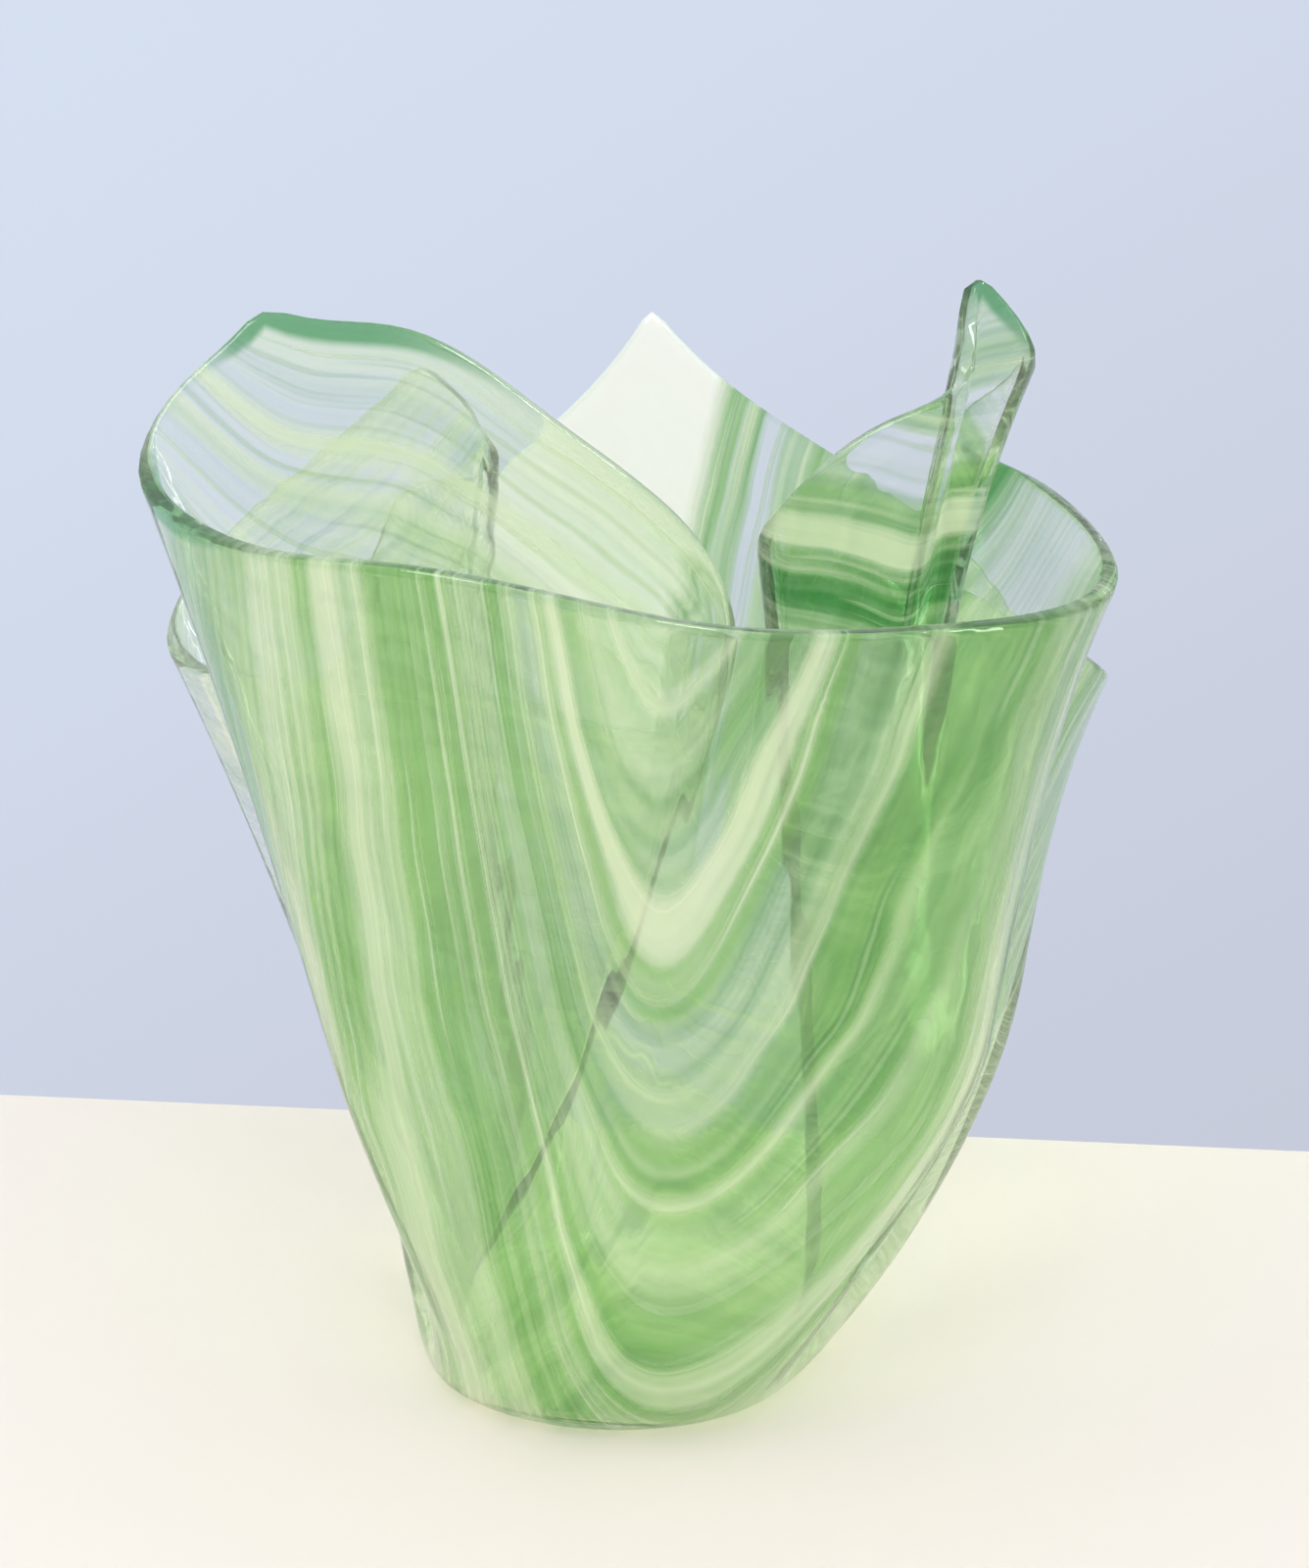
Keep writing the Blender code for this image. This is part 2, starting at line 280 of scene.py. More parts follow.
def flat_sheet():
    """The square sheet, flat, as a disc under the foot and rings that grow out to a square."""
    angles = ray_angles()
    rings = ring_reaches(angles)
    sheet = bmesh.new()
    disc = bmesh.ops.create_circle(
        sheet, cap_ends=True, cap_tris=True, segments=len(angles), radius=FOOT_RADIUS - FOOT_BEND
    )
    middle = min(disc["verts"], key=lambda vert: vert.co.length)
    outline = [vert for vert in disc["verts"] if vert is not middle]
    outline.sort(key=lambda vert: math.atan2(vert.co.y, vert.co.x) % FULL_TURN)
    for level, reaches in enumerate(rings):
        if level > 0:
            edges = [edge for edge in sheet.edges if edge.is_boundary]
            grown = bmesh.ops.extrude_edge_only(sheet, edges=edges)["geom"]
            fresh = {tuple(v.co): v for v in grown if isinstance(v, bmesh.types.BMVert)}
            outline = [fresh[tuple(vert.co)] for vert in outline]
        for vert, angle, reach in zip(outline, angles, reaches):
            vert.co = (reach * math.cos(angle), reach * math.sin(angle), 0)
    bmesh.ops.recalc_face_normals(sheet, faces=sheet.faces)
    return sheet


sheet = flat_sheet()
sheet_map = sheet.loops.layers.uv.new("sheet")
for face in sheet.faces:
    for loop in face.loops:
        flat_place = loop.vert.co
        loop[sheet_map].uv = (flat_place.x / SHEET_SIDE + 0.5, flat_place.y / SHEET_SIDE + 0.5)
sheet.verts.ensure_lookup_table()
flat_places = np.array([vert.co[:2] for vert in sheet.verts])
for vert, place in zip(sheet.verts, drape(flat_places)):
    vert.co = place
vase_mesh = bpy.data.meshes.new("glass_vase")
sheet.to_mesh(vase_mesh)
sheet.free()
vase_mesh.shade_smooth()
vase = bpy.data.objects.new("glass_vase", vase_mesh)
bpy.context.scene.collection.objects.link(vase)

# The melted edge is thinner than the sheet, along a quarter of an ellipse
flat_reaches = np.hypot(flat_places[:, 0], flat_places[:, 1])
edge_reaches = sheet_reach(np.arctan2(flat_places[:, 1], flat_places[:, 0]))
from_edge = np.clip((edge_reaches - flat_reaches) / EDGE_DEPTHS[0], 0, 1)
fullness = 1 - EDGE_ROUNDNESS * (1 - np.sqrt(1 - (1 - from_edge) ** 2))
edge_rounding = vase.vertex_groups.new(name="edge_rounding")
for index, weight in enumerate(fullness):
    edge_rounding.add([index], float(weight), "REPLACE")
thickness = vase.modifiers.new("glass_thickness", "SOLIDIFY")
thickness.thickness = GLASS_THICKNESS
thickness.offset = 0
thickness.use_even_offset = False
thickness.vertex_group = "edge_rounding"


class Nodes:
    """The node tree of a material or the world, with short ways to add what they need."""

    def __init__(self, owner):
        owner.use_nodes = True
        self.tree = owner.node_tree
        self.shader = self.tree.nodes.get("Principled BSDF")
        self.output = self.tree.nodes.get("Material Output")

    def add(self, kind, **settings):
        node = self.tree.nodes.new(kind)
        for name, value in settings.items():
            setattr(node, name, value)
        return node

    def link(self, source, target):
        self.tree.links.new(source, target)

    def feed(self, socket, value):
        if isinstance(value, bpy.types.NodeSocket):
            self.link(value, socket)
        else:
            socket.default_value = value

    def math(self, operation, first, second=0.0, third=0.0, clamp=False):
        node = self.add("ShaderNodeMath", operation=operation, use_clamp=clamp)
        for socket, value in zip(node.inputs, (first, second, third)):
            self.feed(socket, value)
        return node.outputs[0]

    def smooth_step(self, value, low, high):
        node = self.add("ShaderNodeMapRange", interpolation_type="SMOOTHSTEP")
        self.feed(node.inputs["Value"], value)
        node.inputs["From Min"].default_value = low
        node.inputs["From Max"].default_value = high
        return node.outputs["Result"]

    def read(self, name):
        """A value that the piece's mesh holds at its points."""
        return self.add("ShaderNodeAttribute", attribute_name=name).outputs["Fac"]

    def mix(self, share, first, second):
        node = self.add("ShaderNodeMix", data_type="FLOAT")
        self.feed(node.inputs["Factor"], share)
        self.feed(node.inputs[2], first)
        self.feed(node.inputs[3], second)
        return node.outputs[0]

    def mix_colour(self, share, first, second):
        node = self.add("ShaderNodeMix", data_type="RGBA")
        self.feed(node.inputs["Factor"], share)
        self.feed(node.inputs[6], first)
        self.feed(node.inputs[7], second)
        return node.outputs[2]

    def mix_shaders(self, share, first, second):
        node = self.add("ShaderNodeMixShader")
        for socket, source in zip(node.inputs, (share, first, second)):
            self.link(source, socket)
        return node.outputs["Shader"]

    def noise(self, x, y, z, scale=1.0, detail=2.0):
        place = self.add("ShaderNodeCombineXYZ")
        for socket, value in zip(place.inputs, (x, y, z)):
            self.feed(socket, value)
        node = self.add("ShaderNodeTexNoise")
        self.link(place.outputs[0], node.inputs["Vector"])
        node.inputs["Scale"].default_value = scale
        node.inputs["Detail"].default_value = detail
        return node.outputs["Fac"]

    def streak_ramp(self, value, streaks):
        """Green, milky and deep as the three parts of a colour, between the places stated."""
        first = streaks[0][0]
        span = streaks[-1][0] - first
        node = self.add("ShaderNodeValToRGB")
        band = node.color_ramp
        for place, green, milky, deep in streaks:
            if place == first:
                stop = band.elements[0]
            elif place == streaks[-1][0]:
                stop = band.elements[-1]
            else:
                stop = band.elements.new((place - first) / span)
            stop.color = (green, milky, deep, 1)
        self.feed(node.inputs["Fac"], self.math("MULTIPLY_ADD", value, 1 / span, -first / span))
        return node.outputs["Color"]


# The streaks follow the way that the glass was rolled out, in parts of half the sheet's side. In
# front they hang in nested bows that open to the front edge, at the left they run from front to
# back, and at the right they swing round a place off the sheet.
BOW_STEEPNESS = 2.9
BOW_ROUNDNESS = 0.12
BOW_LEVELS = (-0.9, -0.2)
BOW_SHIFT = 0.265
BOW_MIDDLE = 0.1258
SWIRL_MIDDLE = (1.53, -1.085)
SWIRL_OFFSET = 1.59

# The bands sway by so much, in patches of so many to half the sheet, each from its own start
WANDER = 0.05
WANDER_PATCHES = 1.6
WANDER_START = 3.0
TREMBLE = 0.016
TREMBLE_PATCHES = 7.0
TREMBLE_START = 7.0

# Where one thing gives way to another on the sheet, from and to
WANDER_BEGINS = (-0.8, -0.4)
RIGHT_ARM_BEGINS = (-0.02, 0.14)
STREAKS_STRAIGHTEN = (-0.5, -0.78)
SWIRL_BEGINS = (0.36, 0.56)
BACK_X = (0.75, 0.45)
BACK_Y = (0.0, 0.35)
# Painted highlight: the back right corner turns milky white inside the swirl. This is partly the
# glass's own milk and partly the glare on that panel, painted in.
PAINTED_HIGHLIGHT_SWIRL = (-0.40, -0.43)
PAINTED_HIGHLIGHT_X = (0.35, 0.6)
PAINTED_HIGHLIGHT_Y = (0.0, 0.5)

# How green, how milky and how deep the glass is, at places across the bows from their middle out:
# first down the left arms and round the bends, then down the right arms
LEFT_STREAKS = [
    (0.00, 0.30, 0.15, 0.0),
    (0.08, 0.35, 0.40, 0.0),
    (0.16, 0.55, 0.30, 0.0),
    (0.170, 0.50, 1.00, 0.0),
    (0.182, 0.50, 1.00, 0.0),
    (0.188, 0.95, 0.20, 0.0),
    (0.205, 0.95, 0.20, 0.0),
    (0.212, 0.35, 0.15, 0.1),
    (0.230, 0.40, 0.10, 0.1),
    (0.240, 0.80, 0.60, 0.0),
    (0.250, 1.00, 0.10, 0.2),
    (0.280, 0.90, 0.10, 0.1),
    (0.290, 0.45, 0.20, 0.0),
    (0.310, 0.45, 0.10, 0.0),
    (0.320, 0.90, 0.10, 0.1),
    (0.343, 0.80, 0.20, 0.1),
    (0.3495, 0.60, 1.00, 0.0),
    (0.357, 0.80, 0.20, 0.1),
    (0.42, 0.85, 0.15, 0.2),
    (0.495, 0.75, 0.30, 0.0),
    (0.51, 0.35, 0.95, 0.0),
    (0.525, 0.40, 0.85, 0.0),
    (0.54, 0.80, 0.30, 0.1),
    (0.62, 0.55, 0.50, 0.0),
    (0.70, 0.80, 0.15, 0.2),
    (0.80, 0.10, 0.10, 0.0),
    (0.90, 0.05, 0.05, 0.0),
    (0.925, 0.50, 0.40, 0.0),
    (0.945, 0.05, 0.05, 0.0),
    (0.975, 0.15, 0.60, 0.0),
    (1.00, 0.05, 0.05, 0.0),
    (1.05, 0.25, 0.40, 0.0),
]
RIGHT_STREAKS = [
    (0.00, 0.30, 0.15, 0.0),
    (0.08, 0.50, 0.10, 0.1),
    (0.13, 0.60, 0.00, 0.3),
    (0.150, 0.50, 0.00, 0.3),
    (0.162, 0.35, 0.35, 0.0),
    (0.172, 0.50, 1.00, 0.0),
    (0.182, 0.50, 1.00, 0.0),
    (0.190, 1.00, 0.15, 0.1),
    (0.205, 0.95, 0.10, 0.2),
    (0.215, 0.35, 0.00, 0.3),
    (0.236, 0.45, 0.00, 0.3),
    (0.243, 0.80, 0.30, 0.1),
    (0.252, 1.00, 0.00, 0.3),
    (0.285, 1.00, 0.00, 0.3),
    (0.31, 0.90, 0.10, 0.0),
    (0.325, 0.80, 0.25, 0.0),
    (0.345, 0.60, 0.70, 0.0),
    (0.36, 0.75, 0.30, 0.1),
    (0.40, 0.95, 0.10, 0.2),
    (0.43, 0.50, 0.65, 0.0),
    (0.46, 0.85, 0.20, 0.1),
    (0.50, 0.60, 0.35, 0.0),
    (0.60, 0.60, 0.35, 0.0),
    (1.00, 0.15, 0.30, 0.0),
]
SWIRL_STREAKS = [
    (-0.60, 0.05, 1.00, 0.0),
    (-0.42, 0.10, 0.95, 0.0),
    (-0.405, 0.60, 0.50, 0.0),
    (-0.390, 1.00, 0.20, 0.2),
    (-0.365, 0.90, 0.40, 0.0),
    (-0.342, 1.00, 0.10, 0.3),
    (-0.332, 0.05, 0.00, 0.0),
    (-0.310, 0.05, 0.00, 0.0),
    (-0.300, 0.90, 0.25, 0.0),
    (-0.25, 0.80, 0.20, 0.0),
    (-0.10, 0.50, 0.30, 0.0),
    (0.20, 0.60, 0.25, 0.0),
    (0.28, 0.85, 0.15, 0.1),
    (0.34, 0.50, 0.60, 0.0),
    (0.40, 0.85, 0.15, 0.1),
    (0.45, 0.50, 0.55, 0.0),
    (0.51, 0.80, 0.15, 0.1),
    (0.58, 0.10, 0.05, 0.0),
    (0.66, 0.10, 0.05, 0.0),
    (0.70, 0.30, 0.10, 0.2),
    (0.745, 1.00, 0.00, 0.9),
    (0.785, 1.00, 0.05, 0.8),
    (0.805, 0.90, 0.20, 0.2),
    (0.822, 0.40, 0.95, 0.0),
    (0.842, 0.40, 0.95, 0.0),
    (0.855, 1.00, 0.10, 0.5),
    (0.875, 0.80, 0.10, 0.1),
    (0.89, 0.05, 0.00, 0.0),
    (0.945, 0.05, 0.00, 0.0),
    (0.965, 0.85, 0.10, 0.3),
    (1.00, 0.30, 0.05, 0.1),
]

# Finer streaks: how many lie across half the sheet, how fast they change along their way, and
# where their pattern starts
BROAD_STREAKS = (11, 0.9, 5.0)
FINE_STREAKS = (42, 1.3, 17.0)
HAIRS = (150, 2.0, 31.0)
MILKY_HAIRS = (95, 1.6, 53.0)

# How much they change the green, the milk and the deep green
CLEAR_LIVELINESS = 0.35
BROAD_IN_GREEN = 1.2
FINE_IN_GREEN = 1.8
BACK_PALENESS = 0.6
HAIR_IN_MILK = 2.4
FINE_IN_MILK = -1.0
LEAST_MILK = -0.75
HAIR_IN_DEEP = 2.0
LEAST_DEEP = 1.05
PALE_LINES = (0.62, 0.70)
PALE_LINE_TINT = 0.5

# The edge is green, more so where it turns at the left corner's panel, the left flute and the horn
EDGE = (0.990, 0.999)
EDGE_TINT = 0.2
TURNED_EDGE_TINT = 0.85
TURNED_EDGE_WIDER = 0.012
PANEL_TOP_X = (-0.9, -0.97)
PANEL_TOP_Y = (-0.62, -0.88)
FLUTE_MIDDLE = -0.68
FROM_FLUTE_MIDDLE = (0.14, 0.03)
FLUTE_Y = (-0.9, -0.97)
HORN_X = (0.9, 0.97)
HORN_Y = (-0.93, -0.98)

CLEAR_GLASS = (0.94, 0.97, 0.935, 1)
MID_GREEN = (0.43, 0.69, 0.31, 1)
DEEP_GREEN = (0.10, 0.38, 0.12, 1)
PALE_GREEN = (0.84, 0.93, 0.68, 1)
# The white of the painted highlight at the back right corner
PAINTED_HIGHLIGHT_WHITE = (1.0, 1.0, 0.98, 1)
EDGE_GREEN = (0.12, 0.45, 0.18, 1)
SHADOW_TINT = (0.972, 0.973, 0.935, 1)

# How much light each part of the glass keeps from going straight through
MOST_LET_THROUGH = 0.98
MILK_OPAL = 0.42
GREEN_OPAL = 0.12
PALE_LINE_OPAL = 0.12
# The painted highlight is nearly opaque white glass
PAINTED_HIGHLIGHT_OPAL = 0.95

GLASS_ROUGHNESS = 0.02
GLASS_IOR = 1.5
RIPPLES_ACROSS = 45.0
RIPPLES_ALONG = 4.0
RIPPLE_STRENGTH = 0.25
RIPPLE_HEIGHT = 0.4 * MM


def smooth_step(values, zone):
    """The smooth step from nothing to one, from where the zone starts to where it ends."""
    share = np.clip((values - zone[0]) / (zone[1] - zone[0]), 0, 1)
    return share * share * (3 - 2 * share)


def bow_places(x, y):
    """How far out each place is across the bows, and how far right of their middle line."""

    def bow_level(middle):
        """The place up the sheet where the bow through each place turns over."""
        arm = np.sqrt((x - middle) ** 2 + BOW_ROUNDNESS**2)
        return y + (arm - BOW_ROUNDNESS) * BOW_STEEPNESS

    middle = np.clip(bow_level(0.0), *BOW_LEVELS) * BOW_SHIFT + BOW_MIDDLE
    outward = (bow_level(middle) + 1) / BOW_STEEPNESS + BOW_ROUNDNESS
    bow = np.sqrt(np.maximum(outward**2 - BOW_ROUNDNESS**2, 0))
    straight = np.abs(x - middle)
    return bow + (straight - bow) * smooth_step(x, STREAKS_STRAIGHTEN), x - middle


def spread_over_the_sheet(**values):
    """Give the sheet these values at each of its points, for its glass to read."""
    for name, numbers in values.items():
        attribute = vase_mesh.attributes.new(name, "FLOAT", "POINT")
        attribute.data.foreach_set("value", numbers.astype(np.float32))


sheet_x, sheet_y = flat_places.T / HALF_SIDE
bows, right_of_middle = bow_places(sheet_x, sheet_y)
panel_top = smooth_step(sheet_x, PANEL_TOP_X) * smooth_step(sheet_y, PANEL_TOP_Y)
from_flute = np.abs(sheet_x - FLUTE_MIDDLE)
flute = smooth_step(from_flute, FROM_FLUTE_MIDDLE) * smooth_step(sheet_y, FLUTE_Y)
horn = smooth_step(sheet_x, HORN_X) * smooth_step(sheet_y, HORN_Y)
spread_over_the_sheet(
    bow=bows,
    right_arm=smooth_step(right_of_middle, RIGHT_ARM_BEGINS),
    swirl=SWIRL_OFFSET - np.hypot(sheet_x - SWIRL_MIDDLE[0], sheet_y - SWIRL_MIDDLE[1]),
    swirl_share=smooth_step(sheet_x, SWIRL_BEGINS),
    wander=smooth_step(sheet_x, WANDER_BEGINS),
    back=smooth_step(sheet_x, BACK_X) * smooth_step(sheet_y, BACK_Y),
    white_corner=smooth_step(sheet_x, PAINTED_HIGHLIGHT_X) * smooth_step(sheet_y, PAINTED_HIGHLIGHT_Y),
    turned_edge=np.maximum(np.maximum(panel_top, flute), horn),
)


def streaky_glass():
    """Clear glass with green and milky streaks, and a painted highlight of milky white glass at the
    back right corner. The milky ones let less light through.
    """
    material = bpy.data.materials.new("streaky_glass")
    nodes = Nodes(material)
    uv = nodes.add("ShaderNodeUVMap", uv_map="sheet")
    flat = nodes.add("ShaderNodeMapping")
    flat.inputs["Location"].default_value = (-1, -1, 0)
    flat.inputs["Scale"].default_value = (2, 2, 1)
    nodes.link(uv.outputs["UV"], flat.inputs["Vector"])
    split = nodes.add("ShaderNodeSeparateXYZ")
    nodes.link(flat.outputs["Vector"], split.inputs["Vector"])
    x = split.outputs["X"]
    y = split.outputs["Y"]

    wander = nodes.noise(x, y, WANDER_START, scale=WANDER_PATCHES, detail=1.0)
    wander = nodes.math("MULTIPLY_ADD", wander, WANDER, -WANDER / 2)
    wander = nodes.math("MULTIPLY", wander, nodes.read("wander"))
    tremble = nodes.noise(x, y, TREMBLE_START, scale=TREMBLE_PATCHES, detail=1.0)
    tremble = nodes.math("MULTIPLY_ADD", tremble, TREMBLE, -TREMBLE / 2)

    bow = nodes.math("ADD", nodes.read("bow"), tremble)
    swirl = nodes.math("ADD", nodes.read("swirl"), tremble)
    swirl_share = nodes.read("swirl_share")
    across = nodes.math("ADD", nodes.mix(swirl_share, bow, swirl), wander)
    left_streaks = nodes.streak_ramp(bow, LEFT_STREAKS)
    right_streaks = nodes.streak_ramp(bow, RIGHT_STREAKS)
    bow_streaks = nodes.mix_colour(nodes.read("right_arm"), left_streaks, right_streaks)
    swirl_streaks = nodes.streak_ramp(swirl, SWIRL_STREAKS)
    parts = nodes.add("ShaderNodeSeparateColor")
    nodes.link(nodes.mix_colour(swirl_share, bow_streaks, swirl_streaks), parts.inputs["Color"])

    # Finer streaks and hair lines lie along the broad ones
    def drawn_out(streaks, detail=1.0):
        """Noise that changes fast across the streaks and slowly along them."""
        count, speed, start = streaks
        place = nodes.math("MULTIPLY_ADD", across, count, start)
        along_x = nodes.math("MULTIPLY", x, speed)
        along_y = nodes.math("MULTIPLY", y, speed)
        return nodes.noise(place, along_x, along_y, detail=detail)

    broad = drawn_out(BROAD_STREAKS)
    fine = drawn_out(FINE_STREAKS, detail=2.0)
    hair = drawn_out(HAIRS)
    milky_hair = drawn_out(MILKY_HAIRS)

    # The clear parts have fewer of them, and the glass at the back is paler all over
    base_green = parts.outputs["Red"]
    liveliness = nodes.math("MULTIPLY_ADD", base_green, 1 - CLEAR_LIVELINESS, CLEAR_LIVELINESS)
    change = nodes.math("MULTIPLY_ADD", fine, FINE_IN_GREEN, -(FINE_IN_GREEN + BROAD_IN_GREEN) / 2)
    change = nodes.math("MULTIPLY_ADD", broad, BROAD_IN_GREEN, change)
    green = nodes.math("MULTIPLY_ADD", change, liveliness, base_green, clamp=True)
    green = nodes.math("MULTIPLY", green, nodes.mix(nodes.read("back"), 1.0, BACK_PALENESS))
    change = nodes.math("MULTIPLY_ADD", fine, FINE_IN_MILK, LEAST_MILK)
    change = nodes.math("MULTIPLY_ADD", milky_hair, HAIR_IN_MILK, change)
    milk = nodes.math("MULTIPLY_ADD", change, liveliness, parts.outputs["Green"], clamp=True)
    base_deep = nodes.math("SUBTRACT", parts.outputs["Blue"], LEAST_DEEP)
    deep = nodes.math("MULTIPLY_ADD", hair, HAIR_IN_DEEP, base_deep, clamp=True)
    pale_line = nodes.smooth_step(hair, *PALE_LINES)
    # Painted highlight: the glass at the back right corner goes milky white where the glare falls
    white = nodes.smooth_step(swirl, *PAINTED_HIGHLIGHT_SWIRL)
    white = nodes.math("MULTIPLY", white, nodes.read("white_corner"))
    border = nodes.math("MAXIMUM", nodes.math("ABSOLUTE", x), nodes.math("ABSOLUTE", y))
    turned = nodes.read("turned_edge")
    edge = nodes.smooth_step(nodes.math("MULTIPLY_ADD", turned, TURNED_EDGE_WIDER, border), *EDGE)
    edge = nodes.math("MULTIPLY", edge, nodes.mix(turned, EDGE_TINT, TURNED_EDGE_TINT))

    tint = nodes.mix_colour(green, CLEAR_GLASS, MID_GREEN)
    tint = nodes.mix_colour(deep, tint, DEEP_GREEN)
    tint = nodes.mix_colour(milk, tint, PALE_GREEN)
    tint = nodes.mix_colour(nodes.math("MULTIPLY", pale_line, PALE_LINE_TINT), tint, PALE_GREEN)
    tint = nodes.mix_colour(white, tint, PAINTED_HIGHLIGHT_WHITE)
    tint = nodes.mix_colour(edge, tint, EDGE_GREEN)

    opal = nodes.math("MULTIPLY_ADD", milk, MILK_OPAL, nodes.math("MULTIPLY", green, GREEN_OPAL))
    opal = nodes.math("MULTIPLY_ADD", pale_line, PALE_LINE_OPAL, opal)
    opal = nodes.math("MAXIMUM", opal, nodes.math("MULTIPLY", white, PAINTED_HIGHLIGHT_OPAL))
    let_through = nodes.math("SUBTRACT", MOST_LET_THROUGH, opal, clamp=True)

    shader = nodes.shader
    nodes.link(tint, shader.inputs["Base Color"])
    nodes.link(let_through, shader.inputs["Transmission Weight"])
    shader.inputs["Roughness"].default_value = GLASS_ROUGHNESS
    shader.inputs["IOR"].default_value = GLASS_IOR

    ripple = nodes.add("ShaderNodeBump")
    ripple.inputs["Strength"].default_value = RIPPLE_STRENGTH
    ripple.inputs["Distance"].default_value = RIPPLE_HEIGHT
    ripple_x = nodes.math("MULTIPLY", x, RIPPLES_ACROSS)
    ripple_y = nodes.math("MULTIPLY", y, RIPPLES_ALONG)
    nodes.link(nodes.noise(ripple_x, ripple_y, 0.0, detail=0.0), ripple.inputs["Height"])
    nodes.link(ripple.outputs["Normal"], shader.inputs["Normal"])

    # The lamps shine through the glass, tinted a little
    light_path = nodes.add("ShaderNodeLightPath")
    lit_through = nodes.add("ShaderNodeBsdfTransparent")
    lit_through.inputs["Color"].default_value = SHADOW_TINT
    surface = nodes.mix_shaders(
        light_path.outputs["Is Shadow Ray"], shader.outputs["BSDF"], lit_through.outputs["BSDF"]
    )
    nodes.link(surface, nodes.output.inputs["Surface"])
    return material


vase_mesh.materials.append(streaky_glass())
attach(vase, "root")
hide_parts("vase")

# The table and the paper behind it
# A cream-white table top, and a sheet of pale blue paper that stands straight up close behind the
# vase, a little askew. The paper shows at its plain colour with painted shade low down and at the
# right, and from behind it isn't there.

TABLE_COLOUR = (0.91, 0.835, 0.765, 1)
PAPER_COLOUR = (0.67, 0.745, 0.88, 1)
# Painted shade: the paper's colour low down and at the right, darker as if less light fell there
PAPER_PAINTED_SHADE = (0.57, 0.60, 0.71, 1)
PAPER_PAINTED_SHADE_ALONG_X = 0.6
PAPER_PAINTED_SHADE_BEGINS = (-0.30, 0.10)
TABLE_ROUGHNESS = 0.6
PAPER_ROUGHNESS = 0.9
STAGE_WIDTH = 3.0
TABLE_DEPTH = 3.0
PAPER_HEIGHT = 1.6
PAPER_PLACE = 0.0862
PAPER_SLANT = -0.105


def stage_sheet(name, corners, material):
    """One flat face of the stage, between its four corners."""
    sheet = bmesh.new()
    sheet.faces.new([sheet.verts.new(corner) for corner in corners])
    mesh = bpy.data.meshes.new(name)
    sheet.to_mesh(mesh)
    sheet.free()
    mesh.materials.append(material)
    piece = bpy.data.objects.new(name, mesh)
    bpy.context.scene.collection.objects.link(piece)


def table_top():
    """Matt cream-white."""
    material = bpy.data.materials.new("table_top")
    nodes = Nodes(material)
    nodes.shader.inputs["Base Color"].default_value = TABLE_COLOUR
    nodes.shader.inputs["Roughness"].default_value = TABLE_ROUGHNESS
    return material


def backdrop_paper():
    """Matt paper that shows at its plain colour, with painted shade that makes it a little darker low
    down and at the right.
    """
    material = bpy.data.materials.new("backdrop_paper")
    nodes = Nodes(material)
    nodes.shader.inputs["Base Color"].default_value = PAPER_COLOUR
    nodes.shader.inputs["Roughness"].default_value = PAPER_ROUGHNESS
    place = nodes.add("ShaderNodeTexCoord")
    split = nodes.add("ShaderNodeSeparateXYZ")
    nodes.link(place.outputs["Object"], split.inputs["Vector"])
    # Painted shade, darker low down and at the right
    down = nodes.math("MULTIPLY", split.outputs["Z"], -1)
    low_right = nodes.math("MULTIPLY_ADD", split.outputs["X"], PAPER_PAINTED_SHADE_ALONG_X, down)
    shade = nodes.smooth_step(low_right, *PAPER_PAINTED_SHADE_BEGINS)
    plain = nodes.add("ShaderNodeEmission")
    nodes.link(nodes.mix_colour(shade, PAPER_COLOUR, PAPER_PAINTED_SHADE), plain.inputs["Color"])
    rays = nodes.add("ShaderNodeLightPath")
    seen = nodes.math("MAXIMUM", rays.outputs["Is Camera Ray"], rays.outputs["Is Glossy Ray"])
    seen = nodes.math("MAXIMUM", seen, rays.outputs["Is Transmission Ray"])
    front = nodes.mix_shaders(seen, nodes.shader.outputs["BSDF"], plain.outputs["Emission"])
    side = nodes.add("ShaderNodeNewGeometry")
    nothing = nodes.add("ShaderNodeBsdfTransparent")
    one_sided = nodes.mix_shaders(side.outputs["Backfacing"], front, nothing.outputs["BSDF"])
    nodes.link(one_sided, nodes.output.inputs["Surface"])
    return material


left = -STAGE_WIDTH / 2
right = STAGE_WIDTH / 2
left_end = PAPER_PLACE + PAPER_SLANT * left
right_end = PAPER_PLACE + PAPER_SLANT * right
front = -TABLE_DEPTH / 2
back = TABLE_DEPTH / 2
stage_sheet(
    "table",
    [(left, front, 0), (right, front, 0), (right, back, 0), (left, back, 0)],
    table_top(),
)
stage_sheet(
    "paper_backdrop",
    [
        (left, left_end, 0),
        (right, right_end, 0),
        (right, right_end, PAPER_HEIGHT),
        (left, left_end, PAPER_HEIGHT),
    ],
    backdrop_paper(),
)

# The light
# Soft daylight from all round, and two soft lamps, in front to the left and to the right.


def soft_lamp(name, place, width, height, power):
    """A flat lamp that shines at the vase."""
    lamp = bpy.data.lights.new(name, "AREA")
    lamp.shape = "RECTANGLE"
    lamp.size = width
    lamp.size_y = height
    lamp.energy = power
    piece = bpy.data.objects.new(name, lamp)
    piece.location = place
    piece.rotation_euler = (VASE_MIDDLE - Vector(place)).to_track_quat("-Z", "Y").to_euler()
    bpy.context.scene.collection.objects.link(piece)


VASE_MIDDLE = Vector((0.0, 0.02, 0.09))
soft_lamp("window", place=(-0.7, -0.7, 1.1), width=0.5, height=0.5, power=5.2)
soft_lamp("ceiling_light", place=(0.3, -0.6, 1.1), width=0.12, height=0.12, power=1.4)
soft_lamp("door_gap", place=(0.9, -0.35, 0.35), width=0.06, height=0.6, power=1.2)

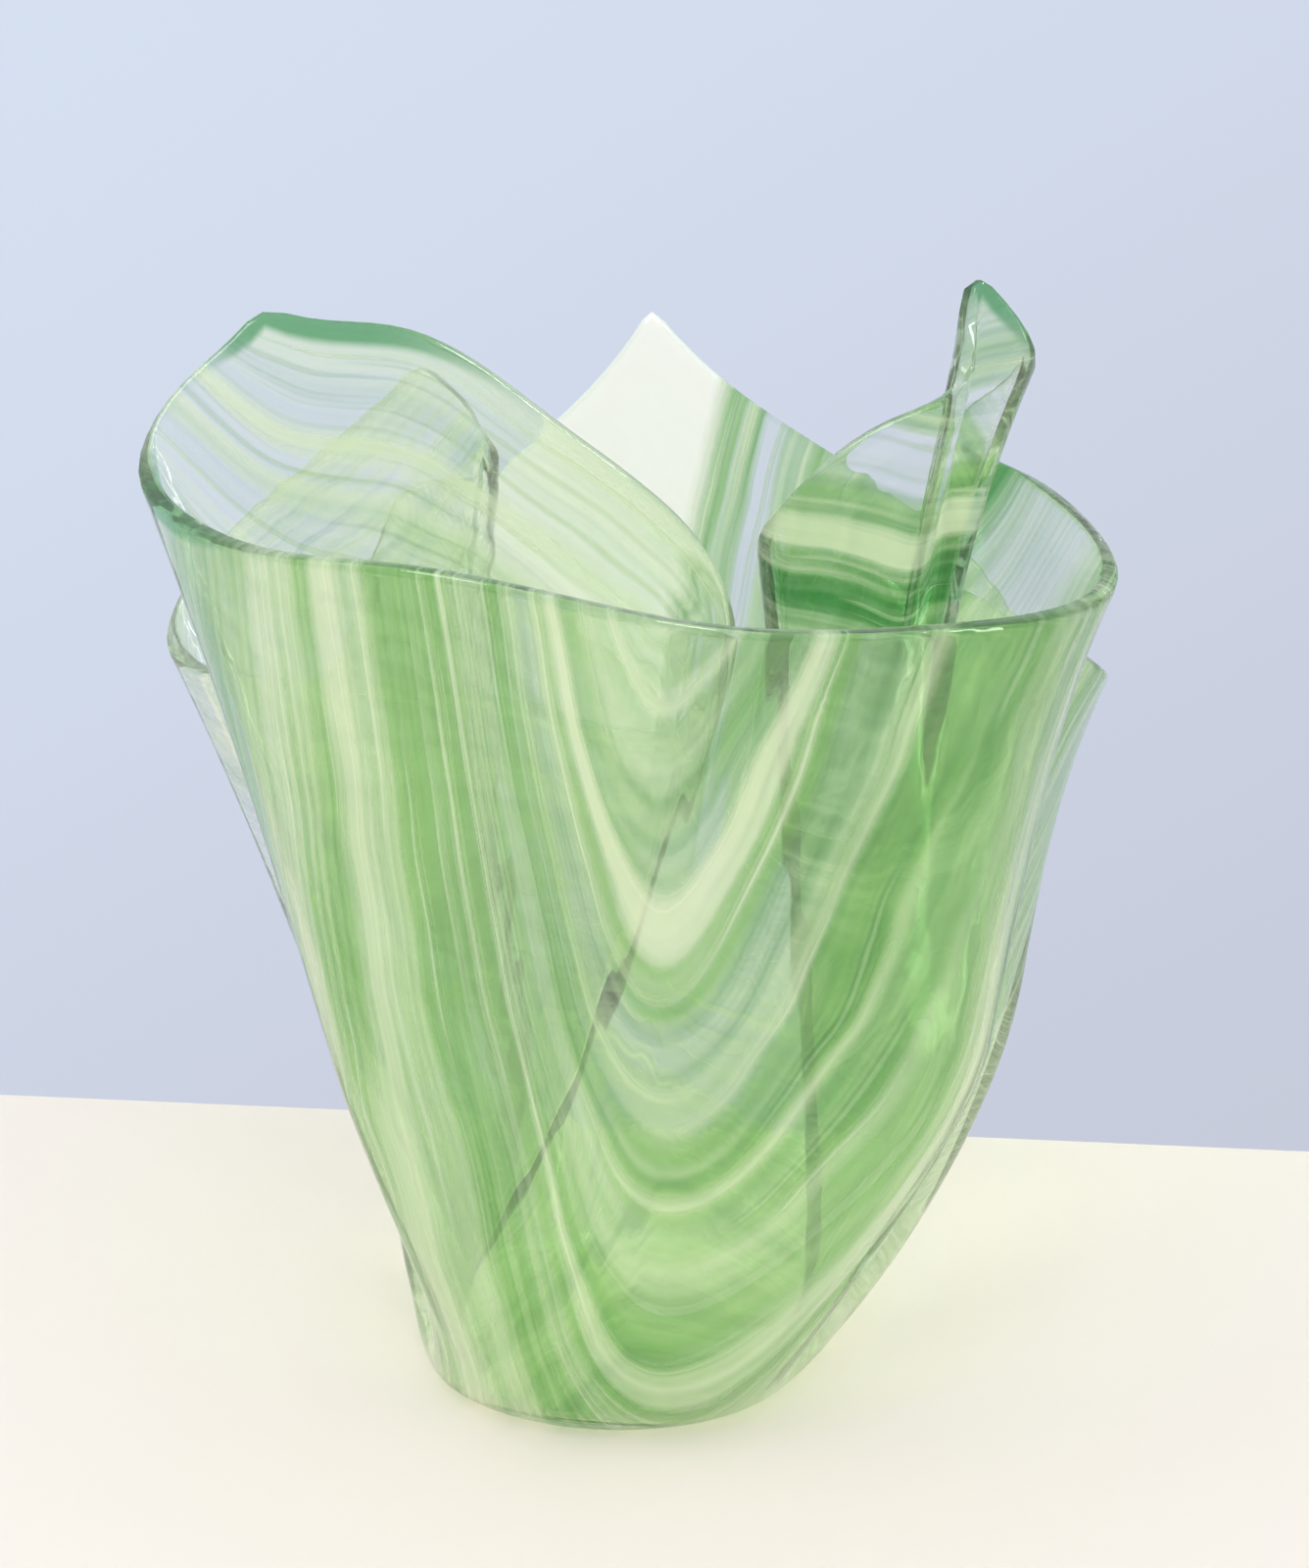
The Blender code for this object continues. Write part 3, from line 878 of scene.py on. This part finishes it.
# The daylight grows upwards, from a little below the horizon. Seen straight on or through the
# glass it is even.
DAYLIGHT_COLOUR = (1.0, 1.0, 1.0, 1)
DAYLIGHT_BEGINS = -0.2
DAYLIGHT_LOW = 0.25
DAYLIGHT_HIGH = 1.15
DAYLIGHT_SEEN = 0.8

world = bpy.data.worlds.new("daylight")
bpy.context.scene.world = world
daylight = Nodes(world)
direction = daylight.add("ShaderNodeTexCoord")
split_direction = daylight.add("ShaderNodeSeparateXYZ")
daylight.link(direction.outputs["Generated"], split_direction.inputs["Vector"])
brightness = daylight.add("ShaderNodeMapRange")
daylight.link(split_direction.outputs["Z"], brightness.inputs["Value"])
brightness.inputs["From Min"].default_value = DAYLIGHT_BEGINS
brightness.inputs["From Max"].default_value = 1.0
brightness.inputs["To Min"].default_value = DAYLIGHT_LOW
brightness.inputs["To Max"].default_value = DAYLIGHT_HIGH
rays = daylight.add("ShaderNodeLightPath")
seen = daylight.math("MAXIMUM", rays.outputs["Is Camera Ray"], rays.outputs["Is Transmission Ray"])
strength = daylight.mix(seen, brightness.outputs["Result"], DAYLIGHT_SEEN)
background = daylight.tree.nodes["Background"]
background.inputs["Color"].default_value = DAYLIGHT_COLOUR
daylight.link(strength, background.inputs["Strength"])

# The camera
# It looks down a little at the middle of the vase, from half a metre away.

CAMERA_TARGET = (0.0063, 0.0021, 0.0955)
CAMERA_DISTANCE = 0.52
CAMERA_ELEVATION = math.radians(18.5)
MM_PER_PIXEL = 0.153
PHOTO_HEIGHT_PX = 1600
SENSOR_MM = 36

camera_data = bpy.data.cameras.new("camera")
camera_data.sensor_width = SENSOR_MM
camera_data.lens = SENSOR_MM * CAMERA_DISTANCE / (PHOTO_HEIGHT_PX * MM_PER_PIXEL * MM)
camera = bpy.data.objects.new("camera", camera_data)
camera_side = Vector((0, -math.cos(CAMERA_ELEVATION), math.sin(CAMERA_ELEVATION)))
camera_offset = camera_side * CAMERA_DISTANCE
camera.location = Vector(CAMERA_TARGET) + camera_offset
camera.rotation_euler = (-camera_offset).to_track_quat("-Z", "Y").to_euler()
bpy.context.scene.collection.objects.link(camera)
bpy.context.scene.camera = camera
bpy.context.scene.view_settings.view_transform = "Standard"
